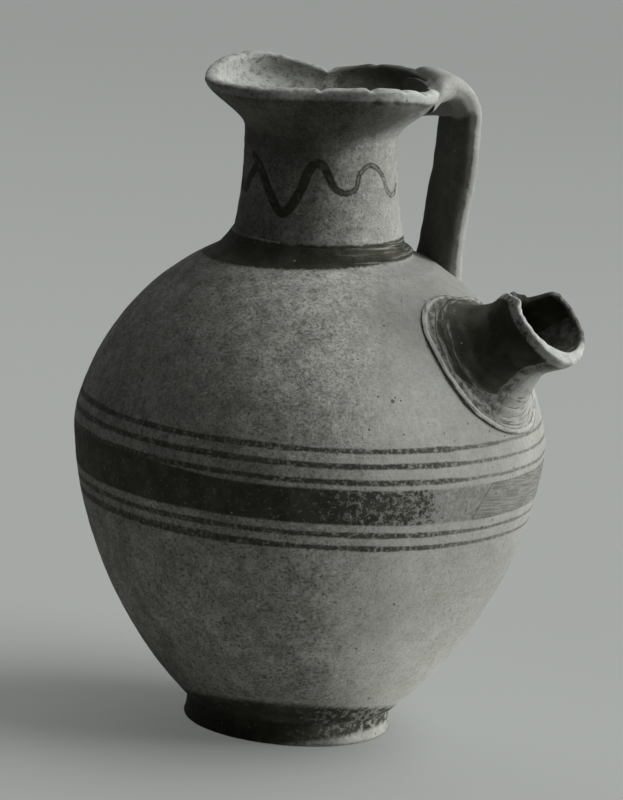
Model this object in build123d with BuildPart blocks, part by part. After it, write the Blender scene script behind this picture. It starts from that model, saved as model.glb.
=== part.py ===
from build123d import *
from math import atan2, cos, degrees, exp, radians, sin, sqrt
import os

# A wheel-made jug with a pinched mouth, a strap handle and a short side spout on its shoulder.
# Every piece is one that the potter forms apart and lutes on with wet clay before the firing.
# Sizes are in millimetres and angles in degrees. +Z is up, the origin is on the ground under the
# middle of the foot, -X is the pouring lip, and the handle and the side spout are towards +X.

# Foot ring
FOOT_RADIUS = 35.5
FOOT_HEIGHT = 7.5
FOOT_RING_WIDTH = 9.0
FOOT_LEAN = 0.8
FOOT_EDGE_ROUND = 1.6

# Body, thrown as two bowls that are joined rim to rim
WALL = 5.0
FLOOR = 6.5
BELLY_RADIUS = 80.5
BELLY_HEIGHT = 101.5
BELLY_ARC = 32.0
BELLY_TURN_DOWN = 6.0
BELLY_TURN_UP = 14.0
BELLY_JOIN_DROP = 8.0
SHOULDER_TOP_HEIGHT = 163.0
SHOULDER_TOP_RADIUS = 38.0
SHOULDER_LEDGE = 4.5
SHOULDER_CLOSE_DEPTH = 14.0

# Neck and mouth
NECK_WALL = 4.5
NECK_BASE_RADIUS = 30.5
NECK_WAIST_RADIUS = 26.0
NECK_WAIST_RISE = 37.0
NECK_OFFSET = 2.3
FLARE_START_RISE = 42.0
MOUTH_RISE = 58.0
MOUTH_RADIUS = 39.8
MOUTH_OFFSET = 5.2
MOUTH_LIP = 6.0
MOUTH_LIP_ROUND = 2.2
MOUTH_PINCH = 8.0
MOUTH_PINCH_SPREAD = 28.0
FRONT_LOBE_SWELL = 1.5
FRONT_LOBE_TURN = 128.0
FRONT_LOBE_SPREAD = 26.0
LIP_TIP_RISE = 0.6
FRONT_LOBE_RISE = 3.8
PINCH_RISE = 2.5
BACK_LOBE_RISE = 4.6
LIP_BACK_RISE = 3.0

# Clay coil that lutes the neck to the shoulder
NECK_COIL_HEIGHT = 8.0
NECK_COIL_LEDGE = 1.2
NECK_COIL_MARGIN = 1.0
NECK_COIL_SLOPE = 0.75

# Strap handle
HANDLE_TURN = 21.0
HANDLE_WIDTH = 25.4
HANDLE_THICKNESS = 9.5
HANDLE_EDGE_ROUND = 4.0
HANDLE_OVERHANG = 10.8
HANDLE_TOP_RISE = 1.4
HANDLE_BEND = 11.6
HANDLE_LAP = 3.5
HANDLE_DRAW_IN = 4.6
HANDLE_WAD_DEPTH = 8.0
HANDLE_WAD_HOLLOW = 2.0
HANDLE_WAD_WIDTH = 15.0

# Side spout
SPOUT_TURN = -27.0
SPOUT_DROP = 23.8
SPOUT_LEAN = -2.1
SPOUT_STEM = 8.0
SPOUT_LENGTH = 25.9
SPOUT_BORE_RADIUS = 11.4
SPOUT_WALL = 3.2
SPOUT_WAIST = 15.0
SPOUT_WAIST_BEND = 0.5
SPOUT_LIP_RADIUS = 16.5
SPOUT_LIP = 3.0
SPOUT_MOUTH_TILT = 9.5
SPOUT_MOUTH_SWING = -7.5
SPOUT_SKIRT_RADIUS = 27.2
SPOUT_SKIRT_HEIGHT = 12.0
SPOUT_SKIRT_EDGE = 1.6
SPOUT_SKIRT_TOP = 0.8
SPOUT_SKIRT_SLOPE = 0.25

# How far a tool body runs past the surface that it cuts
OVERRUN = 12.0

# Most of a wall's thickness that the rounding of one of its edges may take
ROUND_SHARE = 0.42

# Points round a mouth section, steps up the neck and steps above it that the rim is trimmed from
RING_POINTS = 16
NECK_STEPS = 12
NECK_TRIM_STEPS = 2

os.makedirs("parts", exist_ok=True)


def on_circle(centre, radius, angle):
    """Point of a circle in the profile plane, at an angle above the horizontal."""
    return (centre[0] + radius * cos(radians(angle)), centre[1] + radius * sin(radians(angle)))


def tangent_circle(start, angle, end):
    """Centre and radius of the circle that touches start, where its normal has the angle, and end."""
    normal = (cos(radians(angle)), sin(radians(angle)))
    step = (end[0] - start[0], end[1] - start[1])
    radius = -(step[0] ** 2 + step[1] ** 2) / (2 * (step[0] * normal[0] + step[1] * normal[1]))
    return (start[0] - radius * normal[0], start[1] - radius * normal[1]), radius


def angle_at_height(centre, radius, height):
    """Angle above the horizontal at which a circle reaches a height, on its right-hand side."""
    rise = height - centre[1]
    return degrees(atan2(rise, sqrt(radius**2 - rise**2)))


# The body's profile is a belly arc between a long flank arc and a shoulder arc
base_point = (FOOT_RADIUS - FOOT_LEAN, FOOT_HEIGHT)
top_point = (SHOULDER_TOP_RADIUS, SHOULDER_TOP_HEIGHT)
belly_centre = (BELLY_RADIUS - BELLY_ARC, BELLY_HEIGHT)
belly_low = on_circle(belly_centre, BELLY_ARC, -BELLY_TURN_DOWN)
belly_high = on_circle(belly_centre, BELLY_ARC, BELLY_TURN_UP)
flank_centre, flank_radius = tangent_circle(belly_low, -BELLY_TURN_DOWN, base_point)
shoulder_centre, shoulder_radius = tangent_circle(belly_high, BELLY_TURN_UP, top_point)


def body_arcs(inset, low_height, high_height):
    """The three arcs of the body's profile, moved in by an inset, between two heights."""
    flank = flank_radius - inset
    shoulder = shoulder_radius - inset
    low_angle = angle_at_height(flank_centre, flank, low_height)
    high_angle = angle_at_height(shoulder_centre, shoulder, high_height)
    belly_sweep = BELLY_TURN_DOWN + BELLY_TURN_UP
    CenterArc(flank_centre, flank, low_angle, -BELLY_TURN_DOWN - low_angle)
    CenterArc(belly_centre, BELLY_ARC - inset, -BELLY_TURN_DOWN, belly_sweep)
    CenterArc(shoulder_centre, shoulder, BELLY_TURN_UP, high_angle - BELLY_TURN_UP)
    low_point = on_circle(flank_centre, flank, low_angle)
    high_point = on_circle(shoulder_centre, shoulder, high_angle)
    return low_point, high_point


# Filled body, which trims the pieces that are luted onto it
with BuildPart() as body_blank:
    with BuildSketch(Plane.XZ):
        with BuildLine():
            low, high = body_arcs(0, FOOT_HEIGHT, SHOULDER_TOP_HEIGHT)
            Polyline(high, (0, SHOULDER_TOP_HEIGHT), (0, FOOT_HEIGHT), low)
        make_face()
    revolve(axis=Axis.Z)

# Wall of the body in section, closed in under the neck
floor_height = FOOT_HEIGHT + FLOOR
close_height = SHOULDER_TOP_HEIGHT - SHOULDER_CLOSE_DEPTH
neck_bore_radius = NECK_BASE_RADIUS - NECK_WALL
ledge_radius = neck_bore_radius - NECK_OFFSET - WALL

with BuildSketch(Plane.XZ) as body_section:
    with BuildLine():
        outer_low, outer_high = body_arcs(0, FOOT_HEIGHT, SHOULDER_TOP_HEIGHT)
        inner_low, inner_high = body_arcs(WALL, floor_height, close_height)
        ledge_top = (ledge_radius, SHOULDER_TOP_HEIGHT)
        ledge_under = (ledge_radius, SHOULDER_TOP_HEIGHT - SHOULDER_LEDGE)
        Polyline(outer_high, ledge_top, ledge_under, inner_high)
        Polyline(inner_low, (0, floor_height), (0, FOOT_HEIGHT), outer_low)
    make_face()

belly_join = Plane.XY.offset(BELLY_HEIGHT - BELLY_JOIN_DROP)

# Side spout: its place on the shoulder, its axis and the plane that holds its profile
spout_height = SHOULDER_TOP_HEIGHT - SPOUT_DROP
spout_reach = shoulder_centre[0] + sqrt(shoulder_radius**2 - (spout_height - shoulder_centre[1]) ** 2)
spout_out = Vector(cos(radians(SPOUT_TURN)), sin(radians(SPOUT_TURN)), 0)
spout_side = Vector(-spout_out.Y, spout_out.X, 0)
spout_foot = spout_out * spout_reach + Vector(0, 0, spout_height)
spout_rise = angle_at_height(shoulder_centre, shoulder_radius, spout_height) + SPOUT_LEAN
spout_axis = spout_out * cos(radians(spout_rise)) + Vector(0, 0, sin(radians(spout_rise)))
spout_radius = SPOUT_BORE_RADIUS + SPOUT_WALL


def spout_plane(distance, bend_share):
    """Plane across the spout at a distance along its axis, tipped and swung by a share of the mouth's."""
    rise = radians(spout_rise + SPOUT_MOUTH_TILT * bend_share)
    turn = radians(SPOUT_TURN + SPOUT_MOUTH_SWING * bend_share)
    sideways = Vector(-sin(turn), cos(turn), 0)
    normal = Vector(cos(turn) * cos(rise), sin(turn) * cos(rise), sin(rise))
    return Plane(origin=spout_foot + spout_axis * distance, x_dir=sideways, z_dir=normal)


def spout_form(stem_radius, lip_radius):
    """The spout's outside or bore, from inside the wall to its tipped and swung mouth."""
    with BuildPart() as form:
        for distance in (-OVERRUN, SPOUT_STEM):
            with BuildSketch(spout_plane(distance, 0)):
                Circle(stem_radius)
        with BuildSketch(spout_plane(SPOUT_WAIST, SPOUT_WAIST_BEND)):
            Circle(stem_radius)
        with BuildSketch(spout_plane(SPOUT_LENGTH, 1)):
            Circle(lip_radius)
        loft()
    return form.part


spout_blank = spout_form(spout_radius, SPOUT_LIP_RADIUS)
spout_bore = spout_form(SPOUT_BORE_RADIUS, SPOUT_LIP_RADIUS - SPOUT_LIP)

# Foot ring
with BuildPart() as foot_ring:
    with BuildSketch(Plane.XZ):
        with BuildLine():
            ring_inner = FOOT_RADIUS - FOOT_RING_WIDTH
            Polyline(
                (FOOT_RADIUS, 0),
                base_point,
                (ring_inner, FOOT_HEIGHT),
                (ring_inner, 0),
                close=True,
            )
        make_face()
    revolve(axis=Axis.Z)
    ground_edges = foot_ring.edges().group_by(Axis.Z)[0]
    fillet(ground_edges, FOOT_EDGE_ROUND)
foot_ring.part.label = "foot_ring"
export_step(foot_ring.part, "parts/foot_ring.step")

# Lower bowl of the body, with the floor
with BuildPart() as lower_body:
    add(body_section.sketch)
    revolve(axis=Axis.Z)
    split(bisect_by=belly_join, keep=Keep.BOTTOM)
lower_body.part.label = "lower_body"
export_step(lower_body.part, "parts/lower_body.step")

# Upper bowl of the body, pierced for the neck and for the side spout
with BuildPart() as upper_body:
    add(body_section.sketch)
    revolve(axis=Axis.Z)
    split(bisect_by=belly_join, keep=Keep.TOP)
    with BuildSketch(Plane.XY.offset(SHOULDER_TOP_HEIGHT)):
        with Locations((-NECK_OFFSET, 0)):
            Circle(neck_bore_radius)
    extrude(amount=-SHOULDER_CLOSE_DEPTH, mode=Mode.SUBTRACT)
    with BuildSketch(spout_plane(OVERRUN, 0)):
        Circle(SPOUT_BORE_RADIUS)
    extrude(amount=-2 * OVERRUN, mode=Mode.SUBTRACT)
upper_body.part.label = "upper_body"
export_step(upper_body.part, "parts/upper_body.step")


def smooth_step(share):
    """Eased rise from 0 to 1."""
    bounded = min(max(share, 0.0), 1.0)
    return bounded * bounded * (3 - 2 * bounded)


def neck_radius(rise, base, waist, mouth, flare_start):
    """Radius of the neck at a rise above the shoulder: a foot that draws in, then a flared mouth."""
    draw_in = min(max(1 - rise / NECK_WAIST_RISE, 0.0), 1.0) ** 2
    flare = smooth_step((rise - flare_start) / (MOUTH_RISE - flare_start))
    return waist + (base - waist) * draw_in + (mouth - waist) * flare


def ring_outline(rise, radius):
    """Points round the neck at a rise: a leaning ring, drawn in at both sides and let out at the lip."""
    offset = NECK_OFFSET + (MOUTH_OFFSET - NECK_OFFSET) * rise / MOUTH_RISE
    shaping = smooth_step((rise - FLARE_START_RISE) / (MOUTH_RISE - FLARE_START_RISE))
    points = []
    for step in range(RING_POINTS):
        turn = 360 * step / RING_POINTS - 180
        from_back = abs(turn)
        drawn_in = MOUTH_PINCH * exp(-(((from_back - 90) / MOUTH_PINCH_SPREAD) ** 2))
        let_out = FRONT_LOBE_SWELL * exp(-(((from_back - FRONT_LOBE_TURN) / FRONT_LOBE_SPREAD) ** 2))
        reach = radius + shaping * (let_out - drawn_in)
        points.append((reach * cos(radians(turn)) - offset, reach * sin(radians(turn))))
    return points


def neck_form(base, waist, mouth, flare_start, steps_past):
    """The neck's outside or bore, which may run past the shoulder and past the top of the mouth."""
    last_step = NECK_STEPS + NECK_TRIM_STEPS + steps_past
    with BuildPart() as form:
        for step in range(-steps_past, last_step + 1):
            rise = MOUTH_RISE * step / NECK_STEPS
            with BuildSketch(Plane.XY.offset(SHOULDER_TOP_HEIGHT + rise)):
                with BuildLine():
                    radius = neck_radius(rise, base, waist, mouth, flare_start)
                    Spline(*ring_outline(rise, radius), periodic=True)
                make_face()
        loft()
    return form.part


neck_blank = neck_form(NECK_BASE_RADIUS, NECK_WAIST_RADIUS, MOUTH_RADIUS, FLARE_START_RISE, 0)
neck_bore = neck_form(
    neck_bore_radius,
    NECK_WAIST_RADIUS - NECK_WALL,
    MOUTH_RADIUS - MOUTH_LIP,
    FLARE_START_RISE + NECK_WALL / 2,
    1,
)

# What lies above the wavy rim: low at the lip and the handle, high at the two lobes
mouth_height = SHOULDER_TOP_HEIGHT + MOUTH_RISE
with BuildPart() as above_rim:
    with BuildSketch(Plane.XZ.offset(2 * MOUTH_RADIUS)):
        with BuildLine():
            lip_tip = -MOUTH_OFFSET - MOUTH_RADIUS
            lip_back = -MOUTH_OFFSET + MOUTH_RADIUS
            sky = mouth_height + 2 * OVERRUN
            rim_line = Spline(
                (lip_tip - OVERRUN, mouth_height + LIP_TIP_RISE - MOUTH_LIP / 2),
                (lip_tip, mouth_height + LIP_TIP_RISE),
                (-MOUTH_OFFSET - MOUTH_RADIUS / 2, mouth_height + FRONT_LOBE_RISE),
                (-MOUTH_OFFSET, mouth_height + PINCH_RISE),
                (-MOUTH_OFFSET + MOUTH_RADIUS / 2, mouth_height + BACK_LOBE_RISE),
                (lip_back, mouth_height + LIP_BACK_RISE),
                (lip_back + OVERRUN, mouth_height + LIP_BACK_RISE - MOUTH_LIP / 2),
            )
            Polyline(rim_line @ 1, (lip_back + OVERRUN, sky), (lip_tip - OVERRUN, sky), rim_line @ 0)
        make_face()
    extrude(amount=-4 * MOUTH_RADIUS)

# Neck with its flared and pinched mouth
with BuildPart() as neck:
    add(neck_blank)
    add(neck_bore, mode=Mode.SUBTRACT)
    add(above_rim.part, mode=Mode.SUBTRACT)
    lip_round = min(MOUTH_LIP_ROUND, MOUTH_LIP * ROUND_SHARE)
    fillet(neck.faces().sort_by(Axis.Z)[-1].edges(), lip_round)
neck.part.label = "neck"
export_step(neck.part, "parts/neck.step")

# Coil smoothed into a hollow curve round the foot of the neck, about the neck's own axis
neck_foot_centre = (-NECK_OFFSET, 0, SHOULDER_TOP_HEIGHT)
with BuildPart() as neck_coil:
    coil_radius = SHOULDER_TOP_RADIUS - NECK_OFFSET - NECK_COIL_MARGIN
    coil_neck_radius = neck_radius(
        NECK_COIL_HEIGHT, NECK_BASE_RADIUS, NECK_WAIST_RADIUS, MOUTH_RADIUS, FLARE_START_RISE
    )
    with BuildSketch(Plane(origin=neck_foot_centre, x_dir=(1, 0, 0), z_dir=(0, -1, 0))):
        with BuildLine():
            coil_curve = TangentArc(
                (coil_radius, 0),
                (coil_neck_radius + NECK_COIL_LEDGE, NECK_COIL_HEIGHT),
                tangent=(-1, NECK_COIL_SLOPE),
            )
            Polyline(
                coil_curve @ 1,
                (neck_bore_radius, NECK_COIL_HEIGHT),
                (neck_bore_radius, 0),
                coil_curve @ 0,
            )
        make_face()
    revolve(axis=Axis(neck_foot_centre, (0, 0, 1)))
    add(neck_blank, mode=Mode.SUBTRACT)
neck_coil.part.label = "neck_coil"
export_step(neck_coil.part, "parts/neck_coil.step")

# Upright plane of the handle, turned behind +X, with its local x pointing outwards
handle_out = Vector(cos(radians(HANDLE_TURN)), sin(radians(HANDLE_TURN)), 0)
handle_side = Vector(-handle_out.Y, handle_out.X, 0)
handle_plane = Plane(origin=(0, 0, 0), x_dir=handle_out, z_dir=-handle_side)
handle_top = mouth_height + HANDLE_TOP_RISE
rim_sideways = MOUTH_OFFSET * sin(radians(HANDLE_TURN))
rim_reach = sqrt(MOUTH_RADIUS**2 - rim_sideways**2) - MOUTH_OFFSET * cos(radians(HANDLE_TURN))
handle_root = rim_reach - HANDLE_LAP
handle_reach = rim_reach + HANDLE_OVERHANG
handle_foot_reach = handle_reach - HANDLE_DRAW_IN
handle_foot = SHOULDER_TOP_HEIGHT - OVERRUN

with BuildPart() as handle_blank:
    with BuildLine(handle_plane) as strap_line:
        FilletPolyline(
            (handle_root, handle_top),
            (handle_reach, handle_top),
            (handle_foot_reach, handle_foot),
            radius=HANDLE_BEND,
        )
    with BuildSketch(Plane(origin=strap_line.line @ 0, x_dir=handle_side, z_dir=strap_line.line % 0)):
        strap_round = min(HANDLE_EDGE_ROUND, HANDLE_THICKNESS * ROUND_SHARE)
        RectangleRounded(HANDLE_WIDTH, HANDLE_THICKNESS, strap_round)
    sweep(path=strap_line.line)

with BuildPart() as handle:
    add(handle_blank.part)
    for seat in (neck, neck_coil, body_blank):
        add(seat.part, mode=Mode.SUBTRACT)
handle.part.label = "handle"
export_step(handle.part, "parts/handle.step")

# Wad of clay pressed into the corner between the rim and the handle's bend
with BuildPart() as handle_wad:
    with BuildSketch(handle_plane):
        with BuildLine():
            wad_top = handle_top - HANDLE_THICKNESS / 4
            wad_low = handle_top - HANDLE_THICKNESS / 2 - HANDLE_WAD_DEPTH
            wad_out = handle_reach - HANDLE_THICKNESS / 4
            wad_in = handle_root - HANDLE_WAD_DEPTH / 2
            wad_curve = SagittaArc((wad_in, wad_low), (wad_out, wad_low), HANDLE_WAD_HOLLOW)
            Polyline(wad_curve @ 1, (wad_out, wad_top), (handle_root, wad_top), wad_curve @ 0)
        make_face()
    extrude(amount=HANDLE_WAD_WIDTH / 2, both=True)
    for seat in (neck, handle_blank):
        add(seat.part, mode=Mode.SUBTRACT)
handle_wad.part.label = "handle_wad"
export_step(handle_wad.part, "parts/handle_wad.step")

# Side spout, its foot cut to the shoulder
with BuildPart() as spout:
    add(spout_blank)
    add(spout_bore, mode=Mode.SUBTRACT)
    add(body_blank.part, mode=Mode.SUBTRACT)
spout.part.label = "spout"
export_step(spout.part, "parts/spout.step")

# Skirt of clay that lutes the spout to the shoulder
with BuildPart() as spout_skirt:
    skirt_drop = SPOUT_SKIRT_RADIUS**2 / (2 * shoulder_radius)
    skirt_edge = SPOUT_SKIRT_EDGE - skirt_drop
    with BuildSketch(Plane(origin=spout_foot, x_dir=spout_side, z_dir=spout_side.cross(spout_axis))):
        with BuildLine():
            skirt_curve = TangentArc(
                (SPOUT_SKIRT_RADIUS, skirt_edge),
                (spout_radius + SPOUT_SKIRT_TOP, SPOUT_SKIRT_HEIGHT),
                tangent=(-1, SPOUT_SKIRT_SLOPE),
            )
            Polyline(
                skirt_curve @ 1,
                (0, SPOUT_SKIRT_HEIGHT),
                (0, -OVERRUN),
                (SPOUT_SKIRT_RADIUS, -OVERRUN),
                skirt_curve @ 0,
            )
        make_face()
    revolve(axis=Axis(spout_foot, spout_axis))
    add(spout_blank, mode=Mode.SUBTRACT)
    add(body_blank.part, mode=Mode.SUBTRACT)
spout_skirt.part.label = "spout_skirt"
export_step(spout_skirt.part, "parts/spout_skirt.step")
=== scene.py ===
"""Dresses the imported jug: hand-made clay pieces for the plain solids, with paint, light and a camera."""

from math import atan2, cos, degrees, exp, pi, radians, sin, sqrt, tan

import bmesh
import bpy
import numpy as np
from mathutils import Matrix, Vector, noise


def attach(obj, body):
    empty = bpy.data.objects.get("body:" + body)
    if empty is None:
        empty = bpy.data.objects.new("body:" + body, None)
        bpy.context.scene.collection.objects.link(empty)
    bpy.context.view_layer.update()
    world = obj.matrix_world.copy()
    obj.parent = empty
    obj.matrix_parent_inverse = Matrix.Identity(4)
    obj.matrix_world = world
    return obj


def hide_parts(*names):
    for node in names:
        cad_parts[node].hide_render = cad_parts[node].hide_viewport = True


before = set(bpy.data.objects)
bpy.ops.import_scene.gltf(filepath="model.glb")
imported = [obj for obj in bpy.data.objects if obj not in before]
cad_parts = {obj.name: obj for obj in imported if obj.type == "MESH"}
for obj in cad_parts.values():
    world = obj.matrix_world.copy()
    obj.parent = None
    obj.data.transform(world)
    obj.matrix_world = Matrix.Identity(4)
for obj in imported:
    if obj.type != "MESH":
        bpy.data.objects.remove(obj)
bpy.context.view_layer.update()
scene = bpy.context.scene

# Sizes are in millimetres and angles in degrees, as in the part's source. Meshes are made in metres.
MM = 0.001

# Foot ring
FOOT_RADIUS = 35.5
FOOT_HEIGHT = 7.5
FOOT_RING_WIDTH = 9.0
FOOT_LEAN = 0.8
FOOT_EDGE_ROUND = 1.6
FOOT_SEAT = 0.3
FOOT_TOP_STEP = 4.0
FOOT_PLAIN_WIDTH = 2.0

# Body
WALL = 5.0
FLOOR = 6.5
BELLY_RADIUS = 80.5
BELLY_HEIGHT = 101.5
BELLY_ARC = 32.0
BELLY_TURN_DOWN = 6.0
BELLY_TURN_UP = 14.0
BELLY_JOIN_DROP = 8.0
SHOULDER_TOP_HEIGHT = 163.0
SHOULDER_TOP_RADIUS = 38.0
SHOULDER_LEDGE = 4.5
SHOULDER_LEDGE_TAPER = 2.5
SHOULDER_CLOSE_DEPTH = 14.0

# Neck and mouth
NECK_WALL = 4.5
NECK_BASE_RADIUS = 30.5
NECK_WAIST_RADIUS = 26.0
NECK_WAIST_RISE = 37.0
NECK_OFFSET = 2.3
FLARE_START_RISE = 42.0
MOUTH_RISE = 58.0
MOUTH_RADIUS = 39.8
MOUTH_OFFSET = 5.2
MOUTH_LIP = 4.2
MOUTH_PINCH = 8.0
MOUTH_PINCH_TURN = 90.0
MOUTH_PINCH_SPREAD = 28.0
FRONT_LOBE_SWELL = 1.5
FRONT_LOBE_TURN = 128.0
FRONT_LOBE_SPREAD = 26.0

# Rise of the rim above the mouth's height: turn from the handle's side, rise on the far and on the near side
RIM_TURNS = (0.0, 25.0, 52.0, 87.0, 105.0, 128.0, 155.0, 180.0)
RIM_FAR = (2.2, 4.0, 4.7, 1.9, 3.4, 5.6, 3.6, 0.6)
RIM_NEAR = (2.2, 2.6, 4.6, 3.2, 2.6, 1.9, 1.0, 0.6)
RIM_ROUND = 1.7
LIP_BEAD = 0.9
LIP_BEAD_HEIGHT = 3.4
LIP_BEAD_STEP = 0.9

# Coil round the neck's foot, with a ridge on the handle's side
NECK_COIL_HEIGHT = 8.5
COIL_RIDGE = 2.0
COIL_RIDGE_RISE = 4.1
COIL_RIDGE_SPREAD = 1.3

# Strap handle, which widens where it is pressed onto the rim and the shoulder
HANDLE_TURN = 21.0
HANDLE_WIDTH = 25.4
HANDLE_THICKNESS = 9.5
HANDLE_EDGE_ROUND = 4.0
HANDLE_CORNER = 0.7
HANDLE_ROOT_SPREAD = 2.5
HANDLE_NEAR_SPREAD = 7.0
HANDLE_FOOT_SPREAD = 1.8
HANDLE_PRESS = 0.6
HANDLE_ROOT_SHARE = 0.11
HANDLE_NEAR_SHARE = 0.2
HANDLE_FOOT_SHARE = 0.78
HANDLE_DIP_LENGTH = 5.0
HANDLE_LAP_LENGTH = 9.0
HANDLE_ROOT_DIP = 3.0
HANDLE_REACH = 45.7
HANDLE_TOP_RISE = 1.4
HANDLE_BEND = 11.6
HANDLE_LAP = 8.5
HANDLE_BOW = 0.9
HANDLE_BOW_HEIGHT = 194.0
HANDLE_BOW_SPREAD = 13.0
HANDLE_FOOT_REACH = 41.1
HANDLE_FOOT_DEPTH = 12.0
HANDLE_WAD_DEPTH = 8.0
HANDLE_WAD_WIDTH = 15.0
HANDLE_WAD_ARCH = 2.2

# Side spout
SPOUT_TURN = -27.0
SPOUT_DROP = 23.8
SPOUT_RISE = 34.5
SPOUT_LENGTH = 25.9
SPOUT_BORE_RADIUS = 11.4
SPOUT_WALL = 3.2
SPOUT_SEAT_DEPTH = 2.5
SPOUT_LIP_INNER = 13.3
SPOUT_LIP_OUTER = 15.5
SPOUT_LIP_SWELL = 3.2
SPOUT_LIP_SWELL_TURN = 248.0
SPOUT_LIP_ROUND = 1.4
SPOUT_MOUTH_TILT = 9.5
SPOUT_MOUTH_SWING = -7.5
SPOUT_MOUTH_LIFT = 1.3
SPOUT_SKIRT_RADIUS = 27.8
SPOUT_SKIRT_HEIGHT = 12.0
SPOUT_SKIRT_EDGE = 0.8
SPOUT_SKIRT_BEAD = 0.6
SPOUT_SKIRT_STROKE = 0.26
SPOUT_SKIRT_STROKES = 5
SPOUT_SKIRT_TOP = -0.4

# Break in the upper edge of the spout's rim: the turns where it starts and ends, their spans and its depth
SPOUT_BREAK_START = 36.0
SPOUT_BREAK_START_SPAN = 18.0
SPOUT_BREAK_END = 145.0
SPOUT_BREAK_END_SPAN = 48.0
SPOUT_BREAK = 8.8

# Unevenness of a surface: height, size and seed of swells, and height, pitch and seed of the wheel's rings
BODY_SWELLS = ((0.45, 38, 3.1), (0.16, 9, 7.7))
BODY_RINGS = (0.10, 2.3, 11.0)
FOOT_SWELLS = ((0.40, 22, 5.5), (0.16, 5, 2.2))
FOOT_RINGS = (0.15, 1.6, 4.0)
NECK_SWELLS = ((0.30, 24, 1.3), (0.12, 6, 8.8))
NECK_RINGS = (0.13, 2.1, 23.0)
HANDLE_SWELLS = ((0.45, 14, 9.3), (0.25, 4, 3.9))
SPOUT_SWELLS = ((0.35, 9, 2.7), (0.18, 3, 6.6))
RINGS_LENGTH = 60.0

# Pits and dents in the body's wall: azimuth from the photograph's side, height, width and depth
PITS = (
    (-27.0, 135.5, 1.9, 0.9),
    (-33.0, 152.5, 1.7, 0.7),
    (12.0, 70.0, 1.6, 0.6),
    (34.0, 66.0, 1.4, 0.5),
    (8.0, 33.0, 1.5, 0.7),
    (22.0, 27.0, 1.5, 0.6),
    (-12.0, 62.0, 1.5, 0.6),
    (-40.0, 80.0, 1.8, 0.7),
    (40.0, 135.0, 1.4, 0.5),
    (150.0, 60.0, 1.8, 0.8),
    (-140.0, 120.0, 1.7, 0.7),
    (110.0, 100.0, 1.6, 0.6),
    (-100.0, 45.0, 1.6, 0.6),
)

# Chips along the rim: turn, width along the rim and depth
RIM_CHIPS = (
    (-62.0, 2.2, 1.0),
    (-45.0, 1.8, 0.9),
    (-31.0, 2.4, 1.1),
    (-23.0, 1.6, 0.8),
    (-91.0, 2.2, 0.9),
    (-120.0, 2.2, 0.5),
    (87.0, 3.2, 1.5),
    (60.0, 2.2, 0.5),
    (160.0, 2.4, 0.6),
)
DENT_SHARE = 0.6

# Fineness of the meshes: points round a ring and the spacing of the rings
BODY_RING = 384
BODY_STEP = 1.1
SHOULDER_FINE_HEIGHT = 158.0
SHOULDER_FINE_STEP = 0.5
INSIDE_STEP = 5.0
NECK_RING = 256
HANDLE_RING = 128
HANDLE_STEP = 1.2
WAD_RING = 48
SPOUT_RING = 128
CURVE_FINENESS = 8
SHARP_ANGLE = 55.0


def on_circle(centre, radius, angle):
    """Point of a circle in the profile plane, at an angle above the horizontal."""
    return (centre[0] + radius * cos(radians(angle)), centre[1] + radius * sin(radians(angle)))


def tangent_circle(start, angle, end):
    """Centre and radius of the circle that touches start, where its normal has the angle, and end."""
    normal = (cos(radians(angle)), sin(radians(angle)))
    step = (end[0] - start[0], end[1] - start[1])
    radius = -(step[0] ** 2 + step[1] ** 2) / (2 * (step[0] * normal[0] + step[1] * normal[1]))
    return (start[0] - radius * normal[0], start[1] - radius * normal[1]), radius


def ease(value, start, end):
    """Smooth rise from 0 at start to 1 at end, or a fall where start is above end."""
    share = min(max((value - start) / (end - start), 0.0), 1.0)
    return share * share * (3 - 2 * share)


def bell(value, middle, spread):
    """Smooth hump of height 1 round a middle."""
    return exp(-(((value - middle) / spread) ** 2))


def smooth_through(points):
    """Points along a smooth curve through the given ones."""
    padded = [points[0], *points, points[-1]]
    curve = []
    for before, start, end, after in zip(padded, padded[1:], padded[2:], padded[3:]):
        for k in range(CURVE_FINENESS):
            t = k / CURVE_FINENESS
            spot = []
            for p0, p1, p2, p3 in zip(before, start, end, after):
                bend = (2 * p0 - 5 * p1 + 4 * p2 - p3) * t * t + (3 * p1 - p0 - 3 * p2 + p3) * t**3
                spot.append(p1 + 0.5 * ((p2 - p0) * t + bend))
            curve.append(spot)
    curve.append(list(points[-1]))
    return curve


def steps_between(low, high, spacing):
    """Evenly spaced values from low to high, both included."""
    return np.linspace(low, high, max(2, int(abs(high - low) / spacing) + 1)).tolist()


def ring_turns(count):
    """Angles of the points round a ring, in radians."""
    return [2 * pi * k / count for k in range(count)]


def lump(point, size, seed):
    """Smooth unevenness between -1 and 1, with features of about a size."""
    return noise.noise(Vector(point) / size + Vector((seed, seed / 2, -seed)))


def uneven(point, swells, rings=None):
    """Unevenness of a surface: swells, and rings that change fast with height and slowly round the pot."""
    total = sum(height * lump(point, size, seed) for height, size, seed in swells)
    if rings:
        height, pitch, seed = rings
        x, y, z = point
        total += height * noise.noise(Vector((x / RINGS_LENGTH, y / RINGS_LENGTH, z / pitch + seed)))
    return total


def add_object(name, data):
    """Object in the scene that holds a mesh, a light or a camera."""
    thing = bpy.data.objects.new(name, data)
    scene.collection.objects.link(thing)
    return thing


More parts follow.
